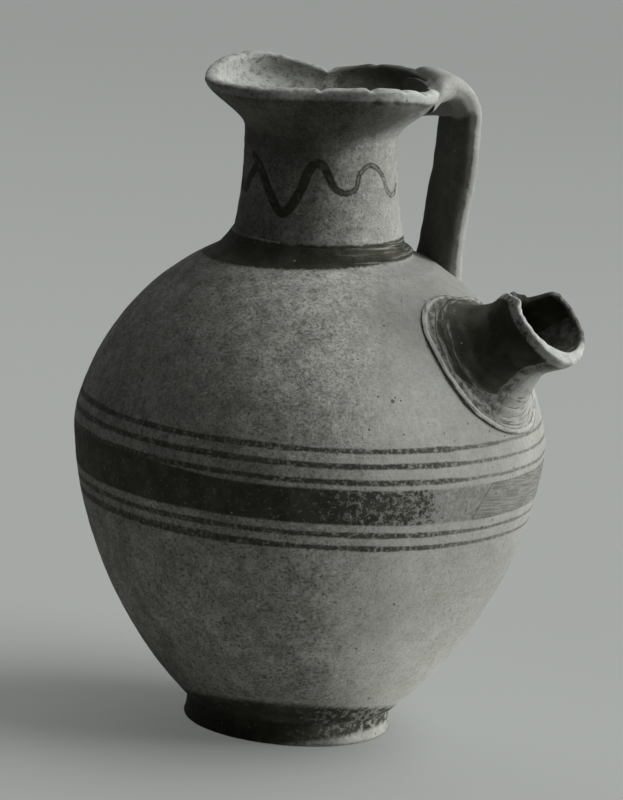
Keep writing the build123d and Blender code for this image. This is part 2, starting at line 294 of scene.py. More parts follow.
def skin(name, rows, looped):
    """Closed mesh over rows of points, each row a ring. The rows join up in a loop or are capped."""
    rows = np.asarray(rows, float) * MM
    row_count, ring = rows.shape[:2]
    vertices = rows.reshape(-1, 3).tolist()
    faces = []
    for row in range(row_count if looped else row_count - 1):
        here = row * ring
        there = (row + 1) % row_count * ring
        for column in range(ring):
            beside = (column + 1) % ring
            faces.append((here + column, here + beside, there + beside, there + column))
    if not looped:
        for row in (0, row_count - 1):
            pole = len(vertices)
            vertices.append(rows[row].mean(axis=0).tolist())
            for column in range(ring):
                faces.append((row * ring + column, row * ring + (column + 1) % ring, pole))
    mesh = bpy.data.meshes.new(name)
    mesh.from_pydata(vertices, [], faces)
    shape = bmesh.new()
    shape.from_mesh(mesh)
    bmesh.ops.recalc_face_normals(shape, faces=shape.faces)
    shape.to_mesh(mesh)
    shape.free()
    return add_object(name, mesh)


def rows_from(columns):
    """Rows of points from columns of points."""
    return np.swapaxes(np.array(columns), 0, 1)


def mark(piece, name, values):
    """Keeps a value on each point of a piece, for its material to read."""
    kept = piece.data.attributes.new(name, "FLOAT", "POINT")
    kept.data.foreach_set("value", np.asarray(values, np.float32).ravel())


def finish_piece(piece, node, material):
    """Shades a piece, gives it its material and puts it in the place of its node."""
    piece.data.shade_smooth()
    piece.data.set_sharp_from_angle(angle=radians(SHARP_ANGLE))
    piece.data.materials.append(material)
    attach(piece, "root")
    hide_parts(node)


# The body's profile: a belly arc between a long flank arc and a shoulder arc, cut in two bowls
base_point = (FOOT_RADIUS - FOOT_LEAN, FOOT_HEIGHT)
top_point = (SHOULDER_TOP_RADIUS, SHOULDER_TOP_HEIGHT)
belly_centre = (BELLY_RADIUS - BELLY_ARC, BELLY_HEIGHT)
belly_low = on_circle(belly_centre, BELLY_ARC, -BELLY_TURN_DOWN)
belly_high = on_circle(belly_centre, BELLY_ARC, BELLY_TURN_UP)
flank_centre, flank_radius = tangent_circle(belly_low, -BELLY_TURN_DOWN, base_point)
shoulder_centre, shoulder_radius = tangent_circle(belly_high, BELLY_TURN_UP, top_point)
join_height = BELLY_HEIGHT - BELLY_JOIN_DROP
floor_height = FOOT_HEIGHT + FLOOR
close_height = SHOULDER_TOP_HEIGHT - SHOULDER_CLOSE_DEPTH
neck_bore_radius = NECK_BASE_RADIUS - NECK_WALL


def body_radius(height, inset=0.0):
    """Radius of the body's outside at a height, or of its inside with the wall as the inset."""
    centre, radius = belly_centre, BELLY_ARC
    if height < on_circle(belly_centre, BELLY_ARC - inset, -BELLY_TURN_DOWN)[1]:
        centre, radius = flank_centre, flank_radius
    elif height > on_circle(belly_centre, BELLY_ARC - inset, BELLY_TURN_UP)[1]:
        centre, radius = shoulder_centre, shoulder_radius
    return centre[0] + sqrt(max((radius - inset) ** 2 - (height - centre[1]) ** 2, 0.0))


def pit_depth(x, y, z):
    """Depth of the pits at a point of the body's outside."""
    depth = 0.0
    for azimuth, height, width, deep in PITS:
        if abs(z - height) < 3 * width:
            reach = sqrt(x * x + y * y)
            across = x - reach * sin(radians(azimuth))
            along = y + reach * cos(radians(azimuth))
            apart = sqrt(across**2 + along**2 + (z - height) ** 2)
            depth += deep * bell(apart, 0.0, DENT_SHARE * width)
    return depth


def body_ring(height, inset=0.0):
    """Ring of the body's wall at a height, with the wheel's marks, and with dents and pits on its outside."""
    radius = body_radius(height, inset)
    points = []
    for turn in ring_turns(BODY_RING):
        x, y = radius * cos(turn), radius * sin(turn)
        swell = uneven((x, y, height), BODY_SWELLS, BODY_RINGS)
        if inset < WALL:
            swell -= pit_depth(x, y, height)
        grown = 1 + swell / radius
        points.append((x * grown, y * grown, height))
    return points


def body_rows(start, end, spacing, inset=0.0):
    """Rings of the body's wall from one height to another."""
    return [body_ring(height, inset) for height in steps_between(start, end, spacing)]


def flat_ring(radius, height, centre_x=0.0):
    """Plain ring of the body's fineness."""
    return [(centre_x + radius * cos(turn), radius * sin(turn), height) for turn in ring_turns(BODY_RING)]


def build_foot_ring():
    """Ring foot, trimmed with a tool and worn along its edges."""
    inner = FOOT_RADIUS - FOOT_RING_WIDTH
    top = FOOT_HEIGHT + FOOT_SEAT
    outer_centre = (FOOT_RADIUS - FOOT_EDGE_ROUND, FOOT_EDGE_ROUND)
    inner_centre = (inner + FOOT_EDGE_ROUND, FOOT_EDGE_ROUND)
    outline = [on_circle(outer_centre, FOOT_EDGE_ROUND, angle) for angle in range(-90, 1, 15)]
    outline += [(FOOT_RADIUS - FOOT_LEAN * z / FOOT_HEIGHT, z) for z in steps_between(2.4, top, 0.7)]
    outline += [(inner + FOOT_TOP_STEP, top), (inner, top)]
    outline += [on_circle(inner_centre, FOOT_EDGE_ROUND, angle) for angle in range(180, 271, 15)]
    rows = []
    for radius, z in outline:
        row = []
        for turn in ring_turns(BODY_RING // 2):
            x, y = radius * cos(turn), radius * sin(turn)
            grown = 1.0
            if radius > inner + FOOT_PLAIN_WIDTH:
                grown += uneven((x, y, z), FOOT_SWELLS, FOOT_RINGS) / radius
            row.append((x * grown, y * grown, max(z, 0.0)))
        rows.append(row)
    return skin("ring_foot", rows, True)


def build_lower_body():
    """Lower bowl, from the middle of its underside over the outside to the middle of its floor."""
    rows = [flat_ring(radius, FOOT_HEIGHT) for radius in (8, 20, base_point[0] - 0.4)]
    rows += body_rows(FOOT_HEIGHT, join_height, BODY_STEP)
    rows += body_rows(join_height, floor_height + 2, INSIDE_STEP, WALL)
    inner = body_radius(floor_height, WALL)
    rows += [flat_ring(inner - drop, floor_height) for drop in (3, 12, 24)]
    return skin("lower_bowl", rows, False)


# Side spout: its place on the shoulder and its axes
spout_height = SHOULDER_TOP_HEIGHT - SPOUT_DROP
spout_out = Vector((cos(radians(SPOUT_TURN)), sin(radians(SPOUT_TURN)), 0))
spout_side = Vector((-spout_out.y, spout_out.x, 0))
spout_foot = spout_out * body_radius(spout_height) + Vector((0, 0, spout_height))
spout_axis = spout_out * cos(radians(SPOUT_RISE)) + Vector((0, 0, sin(radians(SPOUT_RISE))))
spout_up = spout_axis.cross(spout_side)
spout_radius = SPOUT_BORE_RADIUS + SPOUT_WALL


def pierce_for_spout(bowl):
    """Cuts the spout's bore through the wall of the upper bowl."""
    bore = SPOUT_BORE_RADIUS * MM
    rod = bmesh.new()
    bmesh.ops.create_cone(
        rod, cap_ends=True, segments=64, radius1=bore, radius2=bore, depth=2 * SPOUT_LENGTH * MM
    )
    mesh = bpy.data.meshes.new("spout_drill")
    rod.to_mesh(mesh)
    rod.free()
    drill = add_object("spout_drill", mesh)
    turn = Vector((0, 0, 1)).rotation_difference(spout_axis).to_matrix().to_4x4()
    drill.matrix_world = Matrix.Translation(spout_foot * MM) @ turn
    cut = bowl.modifiers.new("spout_hole", "BOOLEAN")
    cut.operation = "DIFFERENCE"
    cut.solver = "EXACT"
    cut.object = drill
    bpy.context.view_layer.update()
    pierced = bpy.data.meshes.new_from_object(bowl.evaluated_get(bpy.context.evaluated_depsgraph_get()))
    bowl.modifiers.clear()
    bowl.data = pierced
    pierced.name = "upper_bowl"
    bpy.data.objects.remove(drill)


def build_upper_body():
    """Upper bowl with the shoulder, open for the neck and pierced for the side spout."""
    rows = body_rows(join_height, SHOULDER_FINE_HEIGHT, BODY_STEP)
    rows += body_rows(SHOULDER_FINE_HEIGHT + 0.3, SHOULDER_TOP_HEIGHT, SHOULDER_FINE_STEP)
    rows += [flat_ring(neck_bore_radius + more, SHOULDER_TOP_HEIGHT, -NECK_OFFSET) for more in (6, 0)]
    under_height = SHOULDER_TOP_HEIGHT - SHOULDER_LEDGE - SHOULDER_LEDGE_TAPER
    rows += [flat_ring(neck_bore_radius, under_height, -NECK_OFFSET)]
    rows += body_rows(close_height, join_height, INSIDE_STEP, WALL)
    bowl = skin("upper_bowl", rows, True)
    pierce_for_spout(bowl)
    return bowl


def neck_radius(rise, base, waist, mouth, flare_start):
    """Radius of the neck at a rise above the shoulder: a foot that draws in, then a flared mouth."""
    draw_in = min(max(1 - rise / NECK_WAIST_RISE, 0.0), 1.0) ** 2
    return waist + (base - waist) * draw_in + (mouth - waist) * ease(rise, flare_start, MOUTH_RISE)


def outer_neck_radius(rise):
    """Radius of the neck's outside at a rise above the shoulder."""
    return neck_radius(rise, NECK_BASE_RADIUS, NECK_WAIST_RADIUS, MOUTH_RADIUS, FLARE_START_RISE)


def neck_offset(rise):
    """How far the neck's middle is moved towards the pouring lip at a rise above the shoulder."""
    return NECK_OFFSET + (MOUTH_OFFSET - NECK_OFFSET) * rise / MOUTH_RISE


rim_far = np.array(smooth_through(list(zip(RIM_TURNS, RIM_FAR)))).T
rim_near = np.array(smooth_through(list(zip(RIM_TURNS, RIM_NEAR)))).T


def rim_rise(turn):
    """Rise of the rim at a turn from the handle's side, in degrees, positive on the far side."""
    turns, rises = rim_far if turn > 0 else rim_near
    return float(np.interp(abs(turn), turns, rises))


def neck_point(turn, rise, inside):
    """Point of the neck's outside or bore at a turn in degrees and a rise above the shoulder."""
    radius = outer_neck_radius(rise)
    if inside:
        waist, mouth = NECK_WAIST_RADIUS - NECK_WALL, MOUTH_RADIUS - MOUTH_LIP
        radius = neck_radius(rise, neck_bore_radius, waist, mouth, FLARE_START_RISE + NECK_WALL / 2)
    offset = neck_offset(rise)
    drawn_in = MOUTH_PINCH * bell(abs(turn), MOUTH_PINCH_TURN, MOUTH_PINCH_SPREAD)
    let_out = FRONT_LOBE_SWELL * bell(abs(turn), FRONT_LOBE_TURN, FRONT_LOBE_SPREAD)
    reach = radius + ease(rise, FLARE_START_RISE, MOUTH_RISE) * (let_out - drawn_in)
    x = reach * cos(radians(turn)) - offset
    y = reach * sin(radians(turn))
    z = SHOULDER_TOP_HEIGHT + rise
    grown = 1 + uneven((x, y, z), NECK_SWELLS, NECK_RINGS) / reach
    return ((x + offset) * grown - offset, y * grown, z)


def rim_wear(turn):
    """How much is chipped and worn off the rim at a turn."""
    worn = 0.0
    for chip_turn, width, deep in RIM_CHIPS:
        worn += deep * bell(radians(turn - chip_turn) * MOUTH_RADIUS, 0.0, DENT_SHARE * width)
    return worn


def lip_bead(turn):
    """How far the edge of the lip stands out, most along the near side between the pinch and the handle."""
    near_right = ease(turn, -16, -32) * ease(turn, -105, -85)
    return LIP_BEAD * (0.25 + 0.75 * near_right)


# Wavy line on the neck: azimuth from the photograph's side and height of the points that it passes
WAVE_STROKES = (
    (
        (-59, 197.2), (-50, 193.9), (-39, 186.5), (-26, 180.4), (-15, 187.2), (-8.5, 195), (-2.5, 198.1),
        (3.8, 196.9), (10.3, 191), (16, 189), (22, 188.8), (28, 190.4), (31, 195), (38.5, 197.9), (47, 196.8),
        (55, 193), (57.5, 190), (64, 187.3), (72, 188), (75, 190),
    ),
    (
        (-140, 190), (-118, 198), (-95, 192), (-80, 186.5), (-68, 185.6), (-64, 189.2), (-57, 193),
        (-50, 193.9),
    ),
)
WAVE_REACH = 6.0


def wave_nearness(places):
    """How near places on the neck are to the wavy stroke: 1 on it, 0 at its reach and beyond."""
    stroke = []
    for points in WAVE_STROKES:
        for azimuth, height in smooth_through(points):
            stroke.append(neck_point(azimuth - 90, height - SHOULDER_TOP_HEIGHT, False))
    stroke = np.array(stroke)
    apart = np.array([np.sqrt(((stroke - place) ** 2).sum(axis=1).min()) for place in places])
    return np.maximum(1 - apart / WAVE_REACH, 0.0)


def over_rim(outer, inner, steps):
    """Places across a rim from its outer to its inner edge, each with the sine of its angle."""
    middle = (outer + inner) / 2
    for k in range(1, steps):
        angle = pi * k / steps
        yield middle + (outer - middle) * cos(angle), sin(angle)


def build_neck():
    """Neck with its flared and pinched mouth: up the outside, over the rim and down the bore."""
    turns = [360 * k / NECK_RING - 180 for k in range(NECK_RING)]
    outside_steps = 96
    inside_steps = 44
    round_steps = 14
    columns = []
    for turn in turns:
        top = MOUTH_RISE + rim_rise(turn) - RIM_ROUND
        bead_foot = top - LIP_BEAD_HEIGHT - 1.5 * lump((turn / 3, top, 0.0), 1.0, 3.7)
        column = []
        for k in range(outside_steps + 1):
            rise = top * k / outside_steps
            x, y, z = neck_point(turn, rise, False)
            bead = lip_bead(turn) * ease(rise, bead_foot, bead_foot + LIP_BEAD_STEP)
            column.append((x + bead * cos(radians(turn)), y + bead * sin(radians(turn)), z))
        inner = [neck_point(turn, top * k / inside_steps, True) for k in range(inside_steps, -1, -1)]
        rounding = RIM_ROUND - rim_wear(turn)
        for across, share in over_rim(Vector(column[-1]), Vector(inner[0]), round_steps):
            lift = rounding * share**0.7 + 0.30 * lump(across, 4.0, 6.1) * share
            column.append((across.x, across.y, across.z + lift))
        columns.append(column + inner)
    rows = rows_from(columns)
    neck = skin("neck_and_mouth", rows, True)
    bore_start = outside_steps + round_steps
    shaded = np.array([ease(turn, -4, 16) * ease(turn, 95, 69) for turn in turns])
    bare, inner, outer = np.zeros((3, *rows.shape[:2]))
    # Pale worn lip on the outside's top and across the rim, held back where the rim lies in shade as painted
    # shade; the inner wall on the left, where the light falls, is paled as painted light
    bare[outside_steps - 2:outside_steps] = 0.4
    bare[outside_steps:bore_start] = 0.8 * (1 - shaded)
    bare[bore_start:] = [ease(abs(turn), 90, 104) for turn in turns]
    # Painted shade inside the mouth on the handle's side, fading down the bore
    for row in range(outside_steps + round_steps // 3, len(rows)):
        inner[row] = shaded * ease(row, bore_start + 22, bore_start + 6)
    # Outside of the neck below the rim, where the painted shadow under the flare falls
    outer[:outside_steps - 3] = 1.0
    mark(neck, "worn_edge_and_painted_light", bare)
    mark(neck, "inner_face", inner)
    mark(neck, "outer_face", outer)
    mark(neck, "wave_nearness", wave_nearness(rows.reshape(-1, 3)))
    return neck


def build_neck_coil():
    """Clay smeared from the shoulder up the foot of the neck, with a ridge on the handle's side."""
    steps = 22
    rows = [body_ring(SHOULDER_TOP_HEIGHT - 1.5, 0.35)]
    shoulder = body_ring(SHOULDER_TOP_HEIGHT)
    for k in range(steps + 1):
        inward = 1 - (1 - k / steps) ** 2
        row = []
        for turn, start in zip(ring_turns(BODY_RING), shoulder):
            steepness = 2 + 7 * ease(cos(turn), -1, 1)
            rise = NECK_COIL_HEIGHT * (0.35 * inward + 0.65 * inward**steepness)
            end = neck_point(degrees(atan2(sin(turn), cos(turn))), NECK_COIL_HEIGHT, False)
            x = start[0] + (end[0] - start[0]) * inward
            y = start[1] + (end[1] - start[1]) * inward
            bump = COIL_RIDGE * bell(rise, COIL_RIDGE_RISE, COIL_RIDGE_SPREAD)
            bump *= ease(1.2 * cos(turn), 0.1, 1.1)
            bump += 0.35 * lump((x, y, rise), 7, 4.4) * sin(pi * inward)
            bump -= 0.4 * ease(inward, 0.9, 1.0)
            row.append((x + bump * cos(turn), y + bump * sin(turn), SHOULDER_TOP_HEIGHT + rise))
        rows.append(row)
    for height in (SHOULDER_TOP_HEIGHT + NECK_COIL_HEIGHT - 0.5, SHOULDER_TOP_HEIGHT - 0.6):
        rows.append(flat_ring(NECK_BASE_RADIUS - 3.0, height, -NECK_OFFSET))
    return skin("neck_foot_coil", rows, True)


# Handle
handle_out = Vector((cos(radians(HANDLE_TURN)), sin(radians(HANDLE_TURN)), 0))
handle_side = Vector((-handle_out.y, handle_out.x, 0))
handle_top = SHOULDER_TOP_HEIGHT + MOUTH_RISE + HANDLE_TOP_RISE
handle_foot = SHOULDER_TOP_HEIGHT - HANDLE_FOOT_DEPTH
rim_sideways = MOUTH_OFFSET * sin(radians(HANDLE_TURN))
rim_reach = sqrt(MOUTH_RADIUS**2 - rim_sideways**2) - MOUTH_OFFSET * cos(radians(HANDLE_TURN))
handle_root = rim_reach - HANDLE_LAP


def handle_path():
    """Points and directions along the middle of the strap: out from the rim, round the bend and down."""
    end = Vector((HANDLE_FOOT_REACH, handle_foot))
    down = (end - Vector((HANDLE_REACH, handle_top))).normalized()
    bend_angle = atan2(-down.y, down.x)
    bend_start = HANDLE_REACH - HANDLE_BEND * tan(bend_angle / 2)
    path = []
    for reach in steps_between(handle_root, bend_start, HANDLE_STEP)[:-1]:
        path.append((Vector((reach, handle_top)), Vector((1, 0))))
    bend_steps = int(HANDLE_BEND * bend_angle / HANDLE_STEP)
    centre = Vector((bend_start, handle_top - HANDLE_BEND))
    for k in range(bend_steps + 1):
        angle = bend_angle * k / bend_steps
        spot = centre + HANDLE_BEND * Vector((sin(angle), cos(angle)))
        path.append((spot, Vector((cos(angle), -sin(angle)))))
    start = path[-1][0]
    for length in steps_between(0, (end - start).length, HANDLE_STEP)[1:]:
        path.append((start + down * length, down))
    return path


def squared(wave):
    """Sine or cosine drawn towards a square wave, for a ring with nearly flat sides."""
    return abs(wave) ** 0.2 * (1 if wave >= 0 else -1)


def lip_reach(across):
    """Reach of the mouth's inner edge from the jug's axis, at a distance across the handle."""
    inner = MOUTH_RADIUS - MOUTH_LIP
    return sqrt(max(inner**2 - (across - rim_sideways) ** 2, 0.0)) - MOUTH_OFFSET


def neck_wall_reach(height):
    """Reach of the middle of the neck's wall at a height, on the handle's side."""
    rise = min(height - SHOULDER_TOP_HEIGHT, MOUTH_RISE)
    return outer_neck_radius(rise) - NECK_WALL / 2 - neck_offset(rise)


def handle_ring(share, spot, along):
    """Ring round the strap at a share of its length, about a spot where it runs along a direction."""
    outward = Vector((-along.y, along.x))
    face = handle_out * outward.x + Vector((0, 0, outward.y))
    root = ease(share, HANDLE_ROOT_SHARE, 0)
    foot = ease(share, HANDLE_FOOT_SHARE, 1)
    half_width = HANDLE_WIDTH / 2 + HANDLE_ROOT_SPREAD * root + HANDLE_FOOT_SPREAD * foot - HANDLE_EDGE_ROUND
    half_thick = HANDLE_THICKNESS / 2 + HANDLE_PRESS * (foot - root) - HANDLE_EDGE_ROUND
    corner = HANDLE_CORNER * bell(share, 0.17, 0.09)
    dip = HANDLE_ROOT_DIP * ease(spot.x, handle_root + HANDLE_DIP_LENGTH, handle_root)
    sink = HANDLE_PRESS * root + dip
    bow = HANDLE_BOW * bell(spot.y, HANDLE_BOW_HEIGHT, HANDLE_BOW_SPREAD)
    ring = []
    for turn in ring_turns(HANDLE_RING):
        near_spread = HANDLE_NEAR_SPREAD * ease(share, HANDLE_NEAR_SHARE, 0) if cos(turn) < 0 else 0.0
        across = (half_width + near_spread) * squared(cos(turn)) + HANDLE_EDGE_ROUND * cos(turn)
        thick = half_thick * squared(sin(turn)) + HANDLE_EDGE_ROUND * sin(turn)
        place = spot + outward * (thick - sink + corner)
        lap = max(lip_reach(across) - handle_root, 0.0)
        lap *= ease(spot.x, handle_root + HANDLE_LAP_LENGTH, handle_root)
        point = handle_out * (place.x + bow + lap) + Vector((0, 0, place.y)) + handle_side * across
        point += (face * sin(turn) + handle_side * cos(turn)) * uneven(point, HANDLE_SWELLS)
        ring.append(tuple(point))
    return ring


def build_handle():
    """Strap handle: a flattened roll of clay, spread where it is pressed onto the rim and the shoulder."""
    path = handle_path()
    path.insert(0, path[0])
    rows = [handle_ring(k / (len(path) - 1), *place) for k, place in enumerate(path)]
    handle = skin("strap_handle", rows, False)
    # Painted shade on the face of the strap turned to the neck, and on its root end
    shaded_face = []
    for k in range(len(path)):
        for turn in ring_turns(HANDLE_RING):
            start = 0.15 + 0.04 * max(-sin(turn), 0.0)
            shaded_face.append(ease(k / len(path), start, start + 0.14) * ease(0.66 - 1.4 * sin(turn), 0, 1))
    shaded_face[:HANDLE_RING] = [1.0] * HANDLE_RING
    mark(handle, "inner_face", shaded_face + [1.0, 0.0])
    return handle


def build_handle_wad():
    """Wad of clay thumbed into the corner under the handle's bend."""
    top = handle_top - HANDLE_THICKNESS / 4
    low = handle_top - HANDLE_THICKNESS / 2 - HANDLE_WAD_DEPTH
    outer = HANDLE_REACH - HANDLE_THICKNESS / 4
    rows = []
    width_steps = 24
    for k in range(width_steps + 1):
        sideways = 2 * k / width_steps - 1
        full = sqrt(max(1 - abs(sideways) ** 3, 0.02))
        row = []
        for turn in ring_turns(WAD_RING):
            height = top
            if sin(turn) < 0:
                arch = HANDLE_WAD_ARCH * sin(turn) ** 2
                height += (low + arch - top) * full * abs(sin(turn)) ** 0.35
            inner = neck_wall_reach(height)
            across = (inner + outer) / 2 + (outer - inner) / 2 * cos(turn) * (0.9 + 0.1 * full)
            point = handle_out * across + Vector((0, 0, height))
            point += handle_side * (sideways * HANDLE_WAD_WIDTH / 2)
            point.z += 0.35 * lump(point, 5, 1.9)
            row.append(tuple(point))
        rows.append(row)
    return skin("handle_wad_clay", rows, False)


def spout_section(distance, bend):
    """Middle, sideways and upright direction of a section, tipped by a share of the mouth's bend."""
    rise = radians(SPOUT_RISE + SPOUT_MOUTH_TILT * bend)
    turn = radians(SPOUT_TURN + SPOUT_MOUTH_SWING * bend)
    sideways = Vector((-sin(turn), cos(turn), 0))
    up = Vector((cos(turn) * cos(rise), sin(turn) * cos(rise), sin(rise))).cross(sideways)
    middle = spout_foot + spout_axis * distance + spout_up * (SPOUT_MOUTH_LIFT * bend)
    return middle, sideways, up


def seat_on_body(offset):
    """Distance along the spout's axis at which a line beside it meets the body."""
    low, high = -45.0, 30.0
    for _ in range(40):
        middle = (low + high) / 2
        point = spout_foot + offset + spout_axis * middle
        height = min(max(point.z, FOOT_HEIGHT), SHOULDER_TOP_HEIGHT)
        if sqrt(point.x**2 + point.y**2) > body_radius(height):
            high = middle
        else:
            low = middle
    return high


mouth_centre, mouth_sideways, mouth_up = spout_section(SPOUT_LENGTH, 1.0)
mouth_normal = mouth_sideways.cross(mouth_up)


def spout_break(turn):
    """Depth that is broken off the spout's rim at a turn in degrees from its far side."""
    starting = ease(turn, SPOUT_BREAK_START, SPOUT_BREAK_START + SPOUT_BREAK_START_SPAN)
    return SPOUT_BREAK * starting * ease(turn, SPOUT_BREAK_END, SPOUT_BREAK_END - SPOUT_BREAK_END_SPAN)


def spout_point(turn, share, inside):
    """Point of the spout's outside or bore, from its seat to its lip, swollen along its lower edge."""
    swollen = SPOUT_LIP_OUTER + SPOUT_LIP_SWELL * bell(degrees(turn), SPOUT_LIP_SWELL_TURN, 34)
    stem, lip = (SPOUT_BORE_RADIUS, SPOUT_LIP_INNER) if inside else (spout_radius, swollen)
    offset = spout_side * (stem * cos(turn)) + spout_up * (stem * sin(turn))
    seat = seat_on_body(offset) - SPOUT_SEAT_DEPTH
    end = SPOUT_LENGTH - SPOUT_LIP_ROUND
    distance = seat + (end - spout_break(degrees(turn)) - seat) * share
    whole_share = (distance - seat) / (end - seat)
    radius = stem + (lip - stem) * ease(whole_share, 0.55, 0.97)
    middle, sideways, up = spout_section(distance, ease(whole_share, 0.2, 1.0))
    outward = sideways * cos(turn) + up * sin(turn)
    point = middle + outward * radius
    return point + outward * uneven(point, SPOUT_SWELLS)


def build_spout():
    """Short side spout with a tipped lip that is ragged along its upper edge."""
    outside_steps = 34
    inside_steps = 26
    round_steps = 8
    columns = []
    for turn in ring_turns(SPOUT_RING):
        column = [spout_point(turn, k / outside_steps, False) for k in range(outside_steps + 1)]
        inner = [spout_point(turn, k / inside_steps, True) for k in range(inside_steps, -1, -1)]
        ragged = (0.3 + 2.0 * max(sin(turn), 0.0)) * lump((20 * cos(turn), 20 * sin(turn), 3.0), 3.0, 12.1)
        for across, share in over_rim(column[-1], inner[0], round_steps):
            column.append(across + mouth_normal * ((SPOUT_LIP_ROUND + ragged) * share**0.45))
        columns.append([tuple(point) for point in column + inner])
    rows = rows_from(columns)
    spout = skin("side_spout", rows, True)
    turns = [degrees(turn) for turn in ring_turns(SPOUT_RING)]
    near_rim = np.array([ease(turn, 70, 95) * ease(turn, 318, 293) for turn in turns])
    chip = np.array([bell(turn, SPOUT_BREAK_START, 9) for turn in turns])
    bore_start = outside_steps + round_steps
    bare, inner = np.zeros((2, *rows.shape[:2]))
    bare[outside_steps - 2:bore_start] = near_rim
    inner[outside_steps:bore_start] = 1 - near_rim
    inner[bore_start - 1:] = 1.0
    inner[bore_start:bore_start + 6] -= 0.7 * chip
    mark(spout, "worn_edge_and_painted_light", bare)
    mark(spout, "inner_face", inner)
    return spout


def skirt_radius(turn):
    """Radius of the skirt's edge at a turn in degrees: wide on the near side, drawn in towards the neck."""
    spread = 2.2 * bell(turn, 138, 26) + 1.5 * bell(turn, 295, 25) - 5.0 * bell(turn, 82, 28)
    return SPOUT_SKIRT_RADIUS + spread


def build_spout_skirt():
    """Skirt of clay smeared from the spout onto the shoulder, with a raised edge and finger strokes."""
    steps = 44
    top_radius = spout_radius + SPOUT_SKIRT_TOP
    columns = []
    for turn in ring_turns(SPOUT_RING * 2):
        direction = spout_side * cos(turn) + spout_up * sin(turn)
        edge_radius = skirt_radius(degrees(turn)) + 0.7 * lump((9 * cos(turn), 9 * sin(turn), 0.0), 6.0, 3.3)
        edge_seat = seat_on_body(direction * edge_radius)
        column = []
        for k in range(steps + 1):
            share = k / steps
            radius = edge_radius + (top_radius - edge_radius) * share**0.9
            climb = SPOUT_SKIRT_EDGE + (SPOUT_SKIRT_HEIGHT - SPOUT_SKIRT_EDGE - edge_seat) * share**2.1
            distance = max(edge_seat + climb, seat_on_body(direction * radius) + 0.5)
            bead = SPOUT_SKIRT_BEAD * bell(share, 0.06, 0.035)
            waver = 2.5 * lump((cos(turn) * 4, sin(turn) * 4, share), 1.6, 1.0)
            strokes = SPOUT_SKIRT_STROKE * sin(2 * pi * share * SPOUT_SKIRT_STROKES + waver)
            strokes *= ease(share, 0.08, 0.2) * ease(share, 1.0, 0.7)
            point = spout_foot + direction * radius + spout_axis * (distance + bead + strokes)
            point += spout_axis * (0.35 * lump(point, 6, 5.2))
            column.append(tuple(point))
        hidden = [(top_radius - 2.0, SPOUT_SKIRT_HEIGHT - 1)]
        for radius in (top_radius - 1.5, edge_radius - 6, edge_radius - 0.6):
            hidden.append((radius, seat_on_body(direction * radius) - 1))
        for radius, lift in hidden:
            column.append(tuple(spout_foot + direction * radius + spout_axis * lift))
        columns.append(column)
    rows = rows_from(columns)
    skirt = skin("spout_skirt_clay", rows, True)
    outline, bare = np.zeros((2, *rows.shape[:2]))
    outline[[0, 5]] = 1.0
    bare[2:5] = 0.7
    mark(skirt, "edge_line", outline)
    mark(skirt, "worn_edge_and_painted_light", bare)
    return skirt


class Value:
    """Something that a material works out at each point, with plain arithmetic."""

    def __init__(self, graph, socket):
        self.graph = graph
        self.socket = socket

    def __add__(self, other):
        return self.graph.math("ADD", self, other)

    def __sub__(self, other):
        return self.graph.math("SUBTRACT", self, other)

    def __rsub__(self, other):
        return self.graph.math("SUBTRACT", other, self)

    def __mul__(self, other):
        return self.graph.math("MULTIPLY", self, other)

    def __abs__(self):
        return self.graph.math("ABSOLUTE", self)

    __radd__ = __add__
    __rmul__ = __mul__

    def at_least(self, other):
        """The larger of two values."""
        return self.graph.math("MAXIMUM", self, other)

    def at_most(self, other):
        """The smaller of two values."""
        return self.graph.math("MINIMUM", self, other)

    def towards(self, other, share):
        """Value moved by a share of the way to another."""
        return self + (other - self) * share

    def ease(self, start, end):
        """Smooth rise from 0 at start to 1 at end, or a fall where start is above end."""
        node = self.graph.add("ShaderNodeMapRange")
        node.interpolation_type = "SMOOTHSTEP"
        ends = (end, start, 1.0, 0.0) if start > end else (start, end, 0.0, 1.0)
        for setting, socket in zip((self, *ends), node.inputs):
            self.graph.join(setting, socket)
        return Value(self.graph, node.outputs[0])


